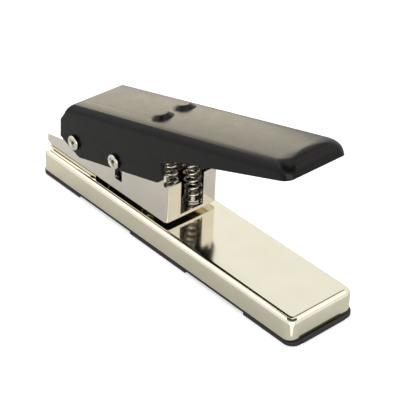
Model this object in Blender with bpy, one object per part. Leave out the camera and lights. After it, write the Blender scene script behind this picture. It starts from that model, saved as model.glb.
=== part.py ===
# Desk punch that stamps guitar picks out of plastic cards.
# A long hollow base carries a pressed-steel channel frame over a card slot.
# A black folded lever turns on a pin at the back of the frame and drives a
# pick-shaped blade down through the card into the die under the base's top.
# +X runs along the base towards the free end of the lever, +Z is up, and the
# origin is on the table under the middle of the machine. All lengths are metres.
import math

import bmesh
import bpy
from mathutils import Vector

# Clearances shared by the whole machine
fit_gap = 0.0003
cut_overrun = 0.002

# Base shell, a deep drawing in nickel-plated sheet
base_length = 0.1694
base_width = 0.0368
base_top_z = 0.01267
base_wall = 0.0010
base_corner_radius = 0.0045
base_top_radius = 0.0031

# Bottom pan, a black moulding that closes the base and carries the feet
pan_rim_height = 0.0021
pan_overhang = 0.0003
pan_front_reach = 0.0012
pan_ring_wall = 0.0012
pan_ring_height = 0.0036
pan_ring_root = 0.0006
pan_arch_height = 0.0012
pan_arch_start_x = 0.0189
pan_arch_length = 0.0371
pull_lip_reach = 0.0015
pull_lip_width = 0.0225
pull_lip_height = 0.0030
pull_lip_ramp = 0.0010

# Frame, one channel of plated steel sheet
frame_width = 0.0295
frame_length = 0.0860
frame_sheet = 0.0015
frame_rear_setback = 0.0006
frame_bend_radius = 0.0018
frame_corner_radius = 0.0024
frame_tail_height = 0.0051
frame_tail_share = 0.515
frame_shoulder_height = 0.0180
frame_shoulder_run_share = 0.30
frame_front_height = 0.0241
frame_foot_chamfer = 0.0022
frame_edge_radius = 0.0012
flange_height = 0.0184
flange_opening = 0.0132
flange_front_relief = 0.0022

# Card slot between the base's top and the frame's floor
card_slot_height = 0.0021
card_slot_depth = 0.0498

# Lever, folded from black-painted sheet, seen from its own pivot with its top level
lever_raise = math.radians(14.9)
lever_travel = math.radians(14.0)
pivot_setback = 0.0627
pivot_height = 0.01205
lever_width = 0.0332
lever_sheet = 0.0015
lever_top_height = 0.0192
lever_rear_reach = 0.0110
lever_front_reach = 0.1440
lever_edge_radius = 0.0049
lever_crown_radius = 0.1200
lever_nose_radius = 0.0080
lever_nose_corner_radius = 0.0052
skirt_drop = 0.0073
skirt_front_reach = 0.0630
skirt_rear_setback = 0.0012
skirt_lip = 0.0010
skirt_corner_radius = 0.0050
skirt_notch_radius = 0.0030
handle_rear_depth = 0.0146
handle_front_depth = 0.0075
handle_corner_radius = 0.0012
lever_back_radius = 0.0012
lever_back_top_radius = 0.0120
lever_back_setback = 0.0045
lever_back_shares = ((-1.0, 0.05), (-0.75, 0.515), (-0.40, 0.685), (-0.055, 0.90))

# Turned pieces of the two cross pins
pivot_sleeve_radius = 0.0025
pivot_screw_radius = 0.0013
pivot_spacer_wall = 0.0012
drive_pin_radius = 0.0020
drive_screw_radius = 0.0010
drive_arm_reach = 0.0293
drive_arm_drop = 0.0033
screw_head_radius = 0.0035
screw_head_height = 0.0015
screw_head_crown_share = 0.45
screw_length = 0.0080
cross_recess_length = 0.0042
cross_recess_width = 0.0013
cross_recess_depth = 0.0011

# Pick-shaped blade, its holder and the die
pick_length = 0.0295
pick_width = 0.0248
pick_tip_radius = 0.0030
pick_shoulder_radius = 0.0070
pick_side_radius = 0.0400
pick_back_radius = 0.0300
punch_rest_lift = 0.0004
punch_height = 0.0086
holder_length = 0.0300
holder_height = 0.0135
holder_corner_radius = 0.0010
drive_slot_play = 0.0006
drive_slot_low_play = 0.0013
drive_slot_corner_radius = 0.0010
holder_slot_corner_share = 0.9
die_thickness = 0.0040
die_length = 0.0440
die_side_gap = 0.0014
die_corner_radius = 0.0015

# Fasteners that stay hidden
die_screw_radius = 0.0015
die_screw_head_radius = 0.0025
die_screw_end_inset = 0.0035
die_screw_side_inset = 0.0033
punch_screw_radius = 0.0015
punch_screw_head_radius = 0.0026
punch_screw_head_height = 0.0016
punch_screw_spacing = 0.0170
punch_screw_bite = 0.0050
rivet_radius = 0.0015
rivet_head_radius = 0.0028
rivet_head_height = 0.0011
rivet_foot_share = 0.8
rivet_spacing_y = 0.0150
rivet_rear_inset = 0.0065
rivet_die_setback = 0.0033

# Return springs and their seats
spring_spacing = 0.0124
spring_mean_radius = 0.00335
spring_wire_radius = 0.00065
spring_front_gap = 0.0010
spring_lean = 0.0066
spring_end_pitch = 0.0019
spring_active_turns = 10
spring_end_turns = 1
spring_points_per_turn = 9
spring_post_radius = 0.0021
spring_post_height = 0.0034
spring_post_flange_radius = 0.0042
spring_post_flange_height = 0.0006
spring_post_shank_radius = 0.0013
spring_post_nose_radius = 0.0013
spring_post_nose_length = 0.0007
dimple_radius = 0.0060
dimple_crown_radius = 0.0014
dimple_height = 0.0015
dimple_cup_radius = 0.0038
dimple_cup_depth = 0.0013

# Arc steps along round shapes
corner_steps = 5
edge_steps = 4
turned_steps = 28
small_turned_steps = 18

# Edges that turn by more than this stay sharp, and lengths are printed in millimetres
smooth_angle = math.radians(32)
mm_per_metre = 1000

# Places worked out from the sizes above
machine_length = pan_overhang + base_length + pull_lip_reach
base_centre_x = -machine_length / 2 + pan_overhang + base_length / 2
base_rear_x = base_centre_x - base_length / 2
base_front_x = base_centre_x + base_length / 2
base_inner_top_z = base_top_z - base_wall
frame_rear_x = base_rear_x + frame_rear_setback
frame_front_x = frame_rear_x + frame_length
frame_floor_z = base_top_z + card_slot_height
frame_floor_top_z = frame_floor_z + frame_sheet
frame_inner_half = frame_width / 2 - frame_sheet
card_stop_x = frame_front_x - card_slot_depth
pivot_x = frame_front_x - pivot_setback
frame_tail_length = (pivot_x - frame_rear_x) * frame_tail_share
frame_shoulder_run = (pivot_x - frame_rear_x) * frame_shoulder_run_share
pivot_z = frame_floor_z + pivot_height
lever_inner_half = lever_width / 2 - lever_sheet
lever_under_z = lever_top_height - lever_sheet
lever_crown_z = lever_top_height - lever_crown_radius
lever_edge_y = lever_width / 2 - lever_edge_radius
lever_crown_angle = math.asin(lever_edge_y / (lever_crown_radius - lever_edge_radius))
lever_edge_z = lever_crown_z + (lever_crown_radius - lever_edge_radius) * math.cos(lever_crown_angle)


def swing(reach, height, angle):
    """World X and Z of a point on the lever when its top slopes up by the angle."""
    x = pivot_x + reach * math.cos(angle) - height * math.sin(angle)
    z = pivot_z + reach * math.sin(angle) + height * math.cos(angle)
    return x, z


pin_rest_x, pin_rest_z = swing(drive_arm_reach, -drive_arm_drop, lever_raise)
pin_low_x, pin_low_z = swing(drive_arm_reach, -drive_arm_drop, lever_raise - lever_travel)
drive_radius = math.hypot(drive_arm_reach, drive_arm_drop)
pin_furthest_x = pivot_x + drive_radius
punch_stroke = pin_rest_z - pin_low_z
pick_centre_x = (min(pin_rest_x, pin_low_x) + pin_furthest_x) / 2
punch_bottom_z = frame_floor_z + punch_rest_lift
punch_top_z = punch_bottom_z + punch_height
holder_bottom_z = punch_top_z + fit_gap
holder_top_z = holder_bottom_z + holder_height
die_top_z = base_inner_top_z - fit_gap
die_bottom_z = die_top_z - die_thickness
die_width = base_width - 2 * base_wall - 2 * die_side_gap
die_screw_spacing_x = die_length - 2 * die_screw_end_inset
die_screw_spacing_y = die_width - 2 * die_screw_side_inset
rivet_rear_x = frame_rear_x + rivet_rear_inset
rivet_front_x = pick_centre_x - die_length / 2 - rivet_die_setback
spring_outer_radius = spring_mean_radius + spring_wire_radius
spring_foot_x = frame_front_x - frame_sheet - spring_front_gap - spring_outer_radius
spring_foot_z = frame_floor_top_z + spring_post_flange_height + 2 * fit_gap + spring_wire_radius


def fillet(points, radii, steps):
    """Round each corner of a closed outline with its own radius."""
    rounded = []
    count = len(points)
    for index, corner in enumerate(points):
        here = Vector(corner)
        back = Vector(points[index - 1]) - here
        ahead = Vector(points[(index + 1) % count]) - here
        radius = radii[index]
        half_angle = back.angle(ahead) / 2
        if radius == 0:
            rounded.append(tuple(here))
            continue
        cut_back = radius / math.tan(half_angle)
        bisector = (back.normalized() + ahead.normalized()).normalized()
        centre = here + bisector * (radius / math.sin(half_angle))
        start = here + back.normalized() * cut_back - centre
        turn = start.angle_signed(here + ahead.normalized() * cut_back - centre)
        for step in range(steps + 1):
            angle = -turn * step / steps
            x = start.x * math.cos(angle) - start.y * math.sin(angle)
            y = start.x * math.sin(angle) + start.y * math.cos(angle)
            rounded.append((centre.x + x, centre.y + y))
    return rounded


def rectangle(length, width, radius, steps, centre_x=0):
    """Outline of a rectangle with four round corners, anticlockwise."""
    half_l = length / 2
    half_w = width / 2
    corners = [
        (centre_x - half_l, -half_w),
        (centre_x + half_l, -half_w),
        (centre_x + half_l, half_w),
        (centre_x - half_l, half_w),
    ]
    return fillet(corners, [radius] * len(corners), steps)


def circle_outline(centre_x, centre_y, radius, steps):
    """Outline of a circle, anticlockwise."""
    points = []
    for step in range(steps):
        angle = 2 * math.pi * step / steps
        points.append((centre_x + radius * math.cos(angle), centre_y + radius * math.sin(angle)))
    return points


def arc(centre, radius, start, end, steps):
    """Points along an arc from one angle to another, both ends included."""
    points = []
    for step in range(steps + 1):
        angle = start + (end - start) * step / steps
        points.append((centre[0] + radius * math.cos(angle), centre[1] + radius * math.sin(angle)))
    return points


def pick_outline(grow=0):
    """Outline of a guitar pick with its tip towards +X, grown by a clearance."""
    shoulder_y = pick_width / 2 - pick_shoulder_radius
    back_reach = math.sqrt((pick_back_radius - pick_shoulder_radius) ** 2 - shoulder_y ** 2)
    shoulder_x = -pick_length / 2 + pick_back_radius - back_reach
    tip_x = pick_length / 2 - pick_tip_radius
    tip = Vector((tip_x, 0))
    shoulder = Vector((shoulder_x, shoulder_y))
    # The long side is an arc that touches the tip's circle and the shoulder's
    to_tip = pick_side_radius - pick_tip_radius
    to_shoulder = pick_side_radius - pick_shoulder_radius
    apart = (shoulder - tip).length
    along = (to_tip ** 2 - to_shoulder ** 2 + apart ** 2) / (2 * apart)
    aside = math.sqrt(to_tip ** 2 - along ** 2)
    direction = (shoulder - tip).normalized()
    side_centre = tip + direction * along + Vector((-direction.y, direction.x)) * aside
    back_centre = Vector((shoulder_x + back_reach, 0))
    from_tip = tip - side_centre
    from_shoulder = shoulder - side_centre
    tip_angle = math.atan2(from_tip.y, from_tip.x)
    shoulder_angle = math.atan2(from_shoulder.y, from_shoulder.x)
    back_angle = math.atan2(shoulder_y, -back_reach)
    upper = arc(tip, pick_tip_radius + grow, 0, tip_angle, corner_steps)[1:]
    upper += arc(side_centre, pick_side_radius + grow, tip_angle, shoulder_angle, edge_steps)[1:]
    upper += arc(shoulder, pick_shoulder_radius + grow, shoulder_angle, back_angle, corner_steps)[1:]
    upper += arc(back_centre, pick_back_radius + grow, back_angle, math.pi, edge_steps)[1:-1]
    lower = [(x, -y) for x, y in reversed(upper)]
    tip_point = (tip_x + pick_tip_radius + grow, 0)
    back_point = (-pick_length / 2 - grow, 0)
    return [tip_point] + upper + [back_point] + lower


def finish_mesh(name, work):
    """Turn worked geometry into a mesh with outward faces and smooth round sides."""
    bmesh.ops.recalc_face_normals(work, faces=work.faces)
    mesh = bpy.data.meshes.new(name)
    work.to_mesh(mesh)
    work.free()
    mesh.shade_smooth()
    mesh.set_sharp_from_angle(angle=smooth_angle)
    return mesh


def stack_rings(name, rings):
    """Closed mesh through rings of equal count, capped at both ends."""
    work = bmesh.new()
    loops = [[work.verts.new(point) for point in ring] for ring in rings]
    for low, high in zip(loops, loops[1:]):
        count = len(low)
        for index in range(count):
            ahead = (index + 1) % count
            work.faces.new((low[index], low[ahead], high[ahead], high[index]))
    work.faces.new(list(reversed(loops[0])))
    work.faces.new(loops[-1])
    return finish_mesh(name, work)


def prism_z(name, outline, low, high):
    """Solid with an XY outline, from one height to another."""
    return stack_rings(name, [[(x, y, z) for x, y in outline] for z in (low, high)])


def prism_y(name, outline, near, far):
    """Solid with an XZ outline, across the machine."""
    return stack_rings(name, [[(x, y, z) for x, z in outline] for y in (near, far)])


def prism_x(name, outline, rear, front):
    """Solid with a YZ outline, along the machine."""
    return stack_rings(name, [[(x, y, z) for y, z in outline] for x in (rear, front)])


def box(name, low, high):
    """Plain block between two corners."""
    outline = [(low[0], low[1]), (high[0], low[1]), (high[0], high[1]), (low[0], high[1])]
    return prism_z(name, outline, low[2], high[2])


def turned(name, profile, steps):
    """Solid of revolution about Z; the profile's first and last points lie on the axis."""
    work = bmesh.new()
    bottom = work.verts.new((0, 0, profile[0][1]))
    top = work.verts.new((0, 0, profile[-1][1]))
    rings = []
    for radius, height in profile[1:-1]:
        rings.append([work.verts.new((x, y, height)) for x, y in circle_outline(0, 0, radius, steps)])
    for low, high in zip(rings, rings[1:]):
        for index in range(steps):
            ahead = (index + 1) % steps
            work.faces.new((low[index], low[ahead], high[ahead], high[index]))
    for index in range(steps):
        ahead = (index + 1) % steps
        work.faces.new((bottom, rings[0][ahead], rings[0][index]))
        work.faces.new((top, rings[-1][index], rings[-1][ahead]))
    return finish_mesh(name, work)


def tube(name, outer, inner, length, steps):
    """Hollow cylinder about Z, centred on its own middle."""
    work = bmesh.new()
    half = length / 2
    rings = []
    for radius, height in ((outer, -half), (outer, half), (inner, half), (inner, -half)):
        rings.append([work.verts.new((x, y, height)) for x, y in circle_outline(0, 0, radius, steps)])
    for low, high in zip(rings, rings[1:] + rings[:1]):
        for index in range(steps):
            ahead = (index + 1) % steps
            work.faces.new((low[index], low[ahead], high[ahead], high[index]))
    return finish_mesh(name, work)


def make_material(name, colour, roughness, metallic):
    """Plain surface with one colour."""
    material = bpy.data.materials.new(name)
    material.use_nodes = True
    surface = material.node_tree.nodes["Principled BSDF"]
    surface.inputs["Base Color"].default_value = (*colour, 1)
    surface.inputs["Roughness"].default_value = roughness
    surface.inputs["Metallic"].default_value = metallic
    return material


def place(name, mesh, material, location=(0, 0, 0), parent=None):
    """Put a sub-part in the scene, at a place in its parent's space."""
    part = bpy.data.objects.new(name, mesh)
    bpy.context.scene.collection.objects.link(part)
    part.location = location
    part.parent = parent
    if material:
        mesh.materials.append(material)
    return part


def shape(part, operation, mesh):
    """Cut, join or intersect a sub-part with a hidden solid in the part's own space."""
    tool = bpy.data.objects.new(mesh.name, mesh)
    bpy.context.scene.collection.objects.link(tool)
    tool.parent = part
    tool.hide_render = True
    tool.display_type = "WIRE"
    step = part.modifiers.new(mesh.name, "BOOLEAN")
    step.operation = operation
    step.solver = "EXACT"
    step.object = tool
    return tool


def round_hole_y(name, x, z, radius, half_length):
    """Cutter for a hole across the machine."""
    return prism_y(name, circle_outline(x, z, radius, small_turned_steps), -half_length, half_length)


def round_hole_z(name, x, y, radius, low, high):
    """Cutter for an upright hole."""
    return prism_z(name, circle_outline(x, y, radius, small_turned_steps), low, high)


def shelled_box(name, inset, low, top):
    """Rounded base form, set in from the shell's outside by a wall."""
    rings = []
    length = base_length - 2 * inset
    width = base_width - 2 * inset
    corner = base_corner_radius - inset
    edge = base_top_radius - inset
    rings.append([(x, y, low) for x, y in rectangle(length, width, corner, corner_steps, base_centre_x)])
    for step in range(edge_steps + 1):
        angle = math.pi / 2 * step / edge_steps
        shrink = edge * (1 - math.cos(angle))
        height = top - edge + edge * math.sin(angle)
        radius = corner - shrink
        outline = rectangle(length - 2 * shrink, width - 2 * shrink, radius, corner_steps, base_centre_x)
        rings.append([(x, y, height) for x, y in outline])
    return stack_rings(name, rings)


def rivet_places():
    """Two rows of rivets behind the card stop."""
    places = []
    for x in (rivet_rear_x, rivet_front_x):
        for y in (-rivet_spacing_y / 2, rivet_spacing_y / 2):
            places.append((x, y))
    return places


def die_screw_places():
    """One screw near each corner of the die."""
    places = []
    for x in (-die_screw_spacing_x / 2, die_screw_spacing_x / 2):
        for y in (-die_screw_spacing_y / 2, die_screw_spacing_y / 2):
            places.append((pick_centre_x + x, y))
    return places


def countersink(name, grow, low, high):
    """Cone-headed form whose head ends level with the base's top, grown by a clearance."""
    head_depth = die_screw_head_radius - die_screw_radius
    profile = [
        (0, low),
        (die_screw_radius + grow, low),
        (die_screw_radius + grow, base_top_z - fit_gap - head_depth),
        (die_screw_head_radius + grow, base_top_z - fit_gap),
        (die_screw_head_radius + grow, high),
        (0, high),
    ]
    return turned(name, profile, small_turned_steps)


def make_base_shell(material):
    shell = place("base_shell", shelled_box("base_shell", 0, pan_rim_height, base_top_z), material)
    hollow_low = pan_rim_height - cut_overrun
    shape(shell, "DIFFERENCE", shelled_box("base_hollow", base_wall, hollow_low, base_inner_top_z))
    low = base_inner_top_z - cut_overrun
    high = base_top_z + cut_overrun
    window = [(x + pick_centre_x, y) for x, y in pick_outline(2 * fit_gap)]
    shape(shell, "DIFFERENCE", prism_z("base_window", window, low, high))
    for number, (x, y) in enumerate(die_screw_places()):
        tool = shape(shell, "DIFFERENCE", countersink("base_countersink_%d" % number, fit_gap, low, high))
        tool.location = (x, y, 0)
    for number, (x, y) in enumerate(rivet_places()):
        hole = round_hole_z("base_rivet_hole_%d" % number, x, y, rivet_radius + fit_gap, low, high)
        shape(shell, "DIFFERENCE", hole)
    return shell


def make_bottom_pan(material):
    rim_length = base_length + pan_overhang + pan_front_reach
    rim_width = base_width + 2 * pan_overhang
    rim_corner = base_corner_radius + pan_overhang
    rim_centre_x = base_centre_x + (pan_front_reach - pan_overhang) / 2
    rim = rectangle(rim_length, rim_width, rim_corner, corner_steps, rim_centre_x)
    rim_top = pan_rim_height - fit_gap
    pan = place("bottom_pan", prism_z("bottom_pan", rim, 0, rim_top), material)
    ring_inset = base_wall + fit_gap
    ring_length = base_length - 2 * ring_inset
    ring_width = base_width - 2 * ring_inset
    ring_corner = base_corner_radius - ring_inset
    ring = rectangle(ring_length, ring_width, ring_corner, corner_steps, base_centre_x)
    ring_top = pan_rim_height + pan_ring_height
    shape(pan, "UNION", prism_z("pan_ring", ring, rim_top - pan_ring_root, ring_top))
    well_length = ring_length - 2 * pan_ring_wall
    well_width = ring_width - 2 * pan_ring_wall
    well_corner = ring_corner - pan_ring_wall
    well = rectangle(well_length, well_width, well_corner, corner_steps, base_centre_x)
    shape(pan, "DIFFERENCE", prism_z("pan_well", well, rim_top, ring_top + cut_overrun))
    # The pull lip in front of the shell slopes down to the rim at both ends
    lip_half = pull_lip_width / 2
    foot_half = lip_half + pull_lip_ramp
    lip = [
        (-foot_half, 0),
        (foot_half, 0),
        (foot_half, rim_top),
        (lip_half, pull_lip_height),
        (-lip_half, pull_lip_height),
        (-foot_half, rim_top),
    ]
    shape(pan, "UNION", prism_x("pan_lip", lip, base_front_x + fit_gap, base_front_x + pull_lip_reach))
    # Shallow arches in the rim's foot, one in front of the middle and one behind it
    arch_middle = pan_arch_start_x + pan_arch_length / 2
    half_width = rim_width / 2 + cut_overrun
    for name, side_sign in (("rear", -1), ("front", 1)):
        arch_low = (side_sign * arch_middle - pan_arch_length / 2, -half_width, -cut_overrun)
        arch_high = (side_sign * arch_middle + pan_arch_length / 2, half_width, pan_arch_height)
        shape(pan, "DIFFERENCE", box("pan_arch_" + name, arch_low, arch_high))
    return pan


def make_die_plate(material):
    outline = rectangle(die_length, die_width, die_corner_radius, corner_steps, pick_centre_x)
    die = place("die_plate", prism_z("die_plate", outline, die_bottom_z, die_top_z), material)
    low = die_bottom_z - cut_overrun
    high = die_top_z + cut_overrun
    mouth = [(x + pick_centre_x, y) for x, y in pick_outline(fit_gap)]
    shape(die, "DIFFERENCE", prism_z("die_mouth", mouth, low, high))
    for number, (x, y) in enumerate(die_screw_places()):
        tool = shape(die, "DIFFERENCE", countersink("die_thread_%d" % number, fit_gap, low, high))
        tool.location = (x, y, 0)
    return die


def make_die_screws(material):
    head_depth = die_screw_head_radius - die_screw_radius
    profile = [
        (0, die_bottom_z),
        (die_screw_radius, die_bottom_z),
        (die_screw_radius, base_top_z - fit_gap - head_depth),
        (die_screw_head_radius, base_top_z - fit_gap),
        (0, base_top_z - fit_gap),
    ]
    mesh = turned("die_screw", profile, small_turned_steps)
    mesh.materials.append(material)
    for number, (x, y) in enumerate(die_screw_places(), start=1):
        place("die_screw_%d" % number, mesh, None, (x, y, 0))


def make_throat_spacer(material):
    low = base_top_z + fit_gap
    high = frame_floor_z - fit_gap
    rear = frame_rear_x + frame_foot_chamfer
    outline = [
        (rear, -frame_width / 2),
        (card_stop_x, -frame_width / 2),
        (card_stop_x, frame_width / 2),
        (rear, frame_width / 2),
    ]
    spacer = place("throat_spacer", prism_z("throat_spacer", outline, low, high), material)
    hole_low = low - cut_overrun
    hole_high = high + cut_overrun
    for number, (x, y) in enumerate(rivet_places()):
        name = "spacer_rivet_hole_%d" % number
        hole = round_hole_z(name, x, y, rivet_radius + fit_gap, hole_low, hole_high)
        shape(spacer, "DIFFERENCE", hole)
    return spacer


def frame_side_outline():
    """Side view of the frame's walls: low tail, shoulder over the pivot, long top edge."""
    floor = frame_floor_z
    tail_x = frame_rear_x + frame_tail_length
    shoulder_x = tail_x + frame_shoulder_run
    points = [
        (frame_rear_x + frame_foot_chamfer, floor),
        (frame_front_x + cut_overrun, floor),
        (frame_front_x + cut_overrun, floor + flange_height),
        (frame_front_x - flange_front_relief, floor + flange_height),
        (frame_front_x - flange_front_relief, floor + frame_front_height),
        (shoulder_x, floor + frame_shoulder_height),
        (tail_x, floor + frame_tail_height + frame_foot_chamfer),
        (frame_rear_x, floor + frame_tail_height),
        (frame_rear_x, floor + frame_foot_chamfer / 2),
    ]
    corner = frame_corner_radius
    radii = [0, 0, 0, 0, frame_edge_radius, corner, corner, frame_edge_radius, 0]
    return fillet(points, radii, edge_steps)


def frame_plan(inset, rear_x):
    """Top view of the channel, round at the two front bends."""
    half = frame_width / 2 - inset
    front = frame_front_x - inset
    points = [(rear_x, -half), (front, -half), (front, half), (rear_x, half)]
    bend = frame_bend_radius - inset
    return fillet(points, [0, bend, bend, 0], edge_steps)


def make_press_frame(material):
    floor = frame_floor_z
    top = floor + frame_front_height + cut_overrun
    outer = frame_plan(0, frame_rear_x - cut_overrun)
    frame = place("press_frame", prism_z("press_frame", outer, floor - cut_overrun, top), material)
    half = frame_width / 2 + cut_overrun
    side = prism_y("frame_side", frame_side_outline(), -half, half)
    shape(frame, "INTERSECT", side)
    inner = frame_plan(frame_sheet, frame_rear_x - 2 * cut_overrun)
    shape(frame, "DIFFERENCE", prism_z("frame_channel", inner, frame_floor_top_z, top + cut_overrun))
    opening_low = (frame_front_x - frame_bend_radius - cut_overrun, -flange_opening / 2, frame_floor_top_z)
    opening_high = (frame_front_x + cut_overrun, flange_opening / 2, top + cut_overrun)
    shape(frame, "DIFFERENCE", box("flange_opening", opening_low, opening_high))
    # Bored holes and slots through both walls
    pivot_hole = round_hole_y("frame_pivot_hole", pivot_x, pivot_z, pivot_sleeve_radius + fit_gap, half)
    shape(frame, "DIFFERENCE", pivot_hole)
    slot_half = drive_pin_radius + fit_gap
    slot_rear = min(pin_rest_x, pin_low_x) - slot_half
    slot_front = pin_furthest_x + slot_half
    slot_low = pin_low_z - slot_half - drive_slot_low_play
    slot_high = pin_rest_z + slot_half
    corners = [(slot_rear, slot_low), (slot_front, slot_low), (slot_front, slot_high), (slot_rear, slot_high)]
    slot = fillet(corners, [drive_slot_corner_radius] * len(corners), edge_steps)
    shape(frame, "DIFFERENCE", prism_y("frame_drive_slot", slot, -half, half))
    # Openings in the floor
    low = floor - cut_overrun
    high = frame_floor_top_z + cut_overrun
    guide = [(x + pick_centre_x, y) for x, y in pick_outline(fit_gap)]
    shape(frame, "DIFFERENCE", prism_z("frame_guide_hole", guide, low, high))
    for number, (x, y) in enumerate(rivet_places()):
        hole = round_hole_z("frame_rivet_hole_%d" % number, x, y, rivet_radius + fit_gap, low, high)
        shape(frame, "DIFFERENCE", hole)
    for number, side_sign in enumerate((-1, 1)):
        hole = round_hole_z(
            "frame_post_hole_%d" % number,
            spring_foot_x,
            side_sign * spring_spacing / 2,
            spring_post_shank_radius + fit_gap,
            low,
            high,
        )
        shape(frame, "DIFFERENCE", hole)
    return frame


def make_frame_rivets(material):
    head_low = frame_floor_top_z + fit_gap
    foot_high = base_inner_top_z - fit_gap
    profile = [(0, foot_high - rivet_head_height)]
    profile.append((rivet_head_radius * rivet_foot_share, foot_high - rivet_head_height))
    profile.append((rivet_head_radius, foot_high))
    profile.append((rivet_radius, foot_high))
    profile.append((rivet_radius, head_low))
    for step in range(edge_steps):
        angle = math.pi / 2 * step / edge_steps
        radius = rivet_head_radius * math.cos(angle)
        profile.append((radius, head_low + rivet_head_height * math.sin(angle)))
    profile.append((0, head_low + rivet_head_height))
    mesh = turned("frame_rivet", profile, small_turned_steps)
    mesh.materials.append(material)
    for number, (x, y) in enumerate(rivet_places(), start=1):
        place("frame_rivet_%d" % number, mesh, None, (x, y, 0))


def make_pivot_spacer(material):
    inner = pivot_sleeve_radius + fit_gap
    length = 2 * (frame_inner_half - fit_gap)
    mesh = tube("pivot_spacer_tube", inner + pivot_spacer_wall, inner, length, turned_steps)
    spacer = place("pivot_spacer_tube", mesh, material, (pivot_x, 0, pivot_z))
    spacer.rotation_euler = (math.pi / 2, 0, 0)
    return spacer


def pan_head_screw(name, shank_radius):
    """Pan-head screw along Z with its head's seat at the origin and a cross recess."""
    crown = screw_head_height * screw_head_crown_share
    profile = [(0, -screw_length), (shank_radius, -screw_length), (shank_radius, 0), (screw_head_radius, 0)]
    straight = screw_head_height - crown
    for step in range(edge_steps):
        angle = math.pi / 2 * step / edge_steps
        radius = screw_head_radius * (1 - screw_head_crown_share * (1 - math.cos(angle)))
        profile.append((radius, straight + crown * math.sin(angle)))
    profile.append((0, screw_head_height))
    return turned(name, profile, turned_steps)


def make_screw_pair(name, shank_radius, reach, height, parent, material):
    """Two screws facing each other across the lever, on one cross pin."""
    seat = lever_width / 2 + fit_gap
    mesh = pan_head_screw(name, shank_radius)
    mesh.materials.append(material)
    deep = screw_head_height - cross_recess_depth
    clear = screw_head_height + cut_overrun
    long_half = cross_recess_length / 2
    thin_half = cross_recess_width / 2
    for side, side_sign in (("left", -1), ("right", 1)):
        screw_name = "%s_%s" % (name, side)
        screw = place(screw_name, mesh, None, (reach, side_sign * seat, height), parent)
        screw.rotation_euler = (-side_sign * math.pi / 2, 0, 0)
        for number, (half_x, half_y) in enumerate(((long_half, thin_half), (thin_half, long_half))):
            bar_name = "%s_recess_%d" % (screw_name, number)
            shape(screw, "DIFFERENCE", box(bar_name, (-half_x, -half_y, deep), (half_x, half_y, clear)))


def lever_side_outline():
    """Side view of the lever from its pivot, with its top level."""
    top = lever_top_height
    rear = lever_rear_reach
    handle_rear_z = lever_top_height - handle_rear_depth
    handle_front_z = lever_top_height - handle_front_depth
    points = [
        (skirt_rear_setback, -skirt_drop),
        (skirt_front_reach - skirt_lip, -skirt_drop),
        (skirt_front_reach, handle_rear_z),
        (lever_front_reach, handle_front_z),
        (lever_front_reach, top),
        (lever_back_setback, top),
    ]
    radii = [
        skirt_notch_radius,
        skirt_corner_radius,
        skirt_notch_radius,
        handle_corner_radius,
        0,
        lever_back_top_radius,
    ]
    for number, (along_share, up_share) in enumerate(reversed(lever_back_shares)):
        points.append((rear * along_share, top * up_share))
        radii.append(lever_back_radius if number else lever_back_top_radius)
    return fillet(points, radii, corner_steps)


def lever_form(name, inset, rear, low):
    """Drawn form of the lever's top: low crown across, round edges, rounder over the nose."""
    edge = lever_edge_radius - inset
    crown = lever_crown_radius - inset
    nose = lever_nose_radius - inset
    nose_z = lever_top_height - lever_nose_radius
    corner = lever_nose_corner_radius - inset
    levels = {low}
    for step in range(edge_steps + 1):
        levels.add(nose_z + nose * math.sin((math.pi / 2 - lever_crown_angle) * step / edge_steps))
        levels.add(lever_edge_z + edge * math.sin((math.pi / 2 - lever_crown_angle) * step / edge_steps))
    for step in range(1, corner_steps):
        levels.add(lever_crown_z + crown * math.cos(lever_crown_angle * step / corner_steps))
    rings = []
    for level in sorted(levels):
        edge_rise = max(level - lever_edge_z, 0)
        nose_rise = max(level - nose_z, 0)
        if edge_rise > edge * math.cos(lever_crown_angle):
            half = math.sqrt(crown ** 2 - (level - lever_crown_z) ** 2)
        else:
            half = lever_edge_y + math.sqrt(edge ** 2 - edge_rise ** 2)
        front = lever_front_reach - lever_nose_radius + math.sqrt(nose ** 2 - nose_rise ** 2)
        points = [(rear, -half), (front, -half), (front, half), (rear, half)]
        round_off = min(corner, half / 2)
        outline = fillet(points, [0, round_off, round_off, 0], corner_steps)
        rings.append([(x, y, level) for x, y in outline])
    return stack_rings(name, rings)


def dimple(name, low, high):
    """Button form with a soft foot and a small round crown, pressed up out of the lever's top."""
    foot_sink = dimple_radius ** 2 / (2 * lever_crown_radius)
    rise = dimple_height + foot_sink
    foot = high - rise
    steps = 2 * edge_steps
    profile = [(0, low), (dimple_radius, low)]
    for step in range(steps + 1):
        share = step / steps
        radius = dimple_radius + (dimple_crown_radius - dimple_radius) * share
        profile.append((radius, foot + rise * share * share * (3 - 2 * share)))
    profile.append((0, high))
    return turned(name, profile, turned_steps)


def lean_with_crown(tool, along, aside):
    """Sets an upright tool square to the lever's crown, at a distance from its middle line."""
    tilt = math.asin(aside / lever_crown_radius)
    tool.rotation_euler = (-tilt, 0, 0)
    tool.location = (along, -lever_crown_z * math.sin(tilt), lever_crown_z * (1 - math.cos(tilt)))


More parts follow.
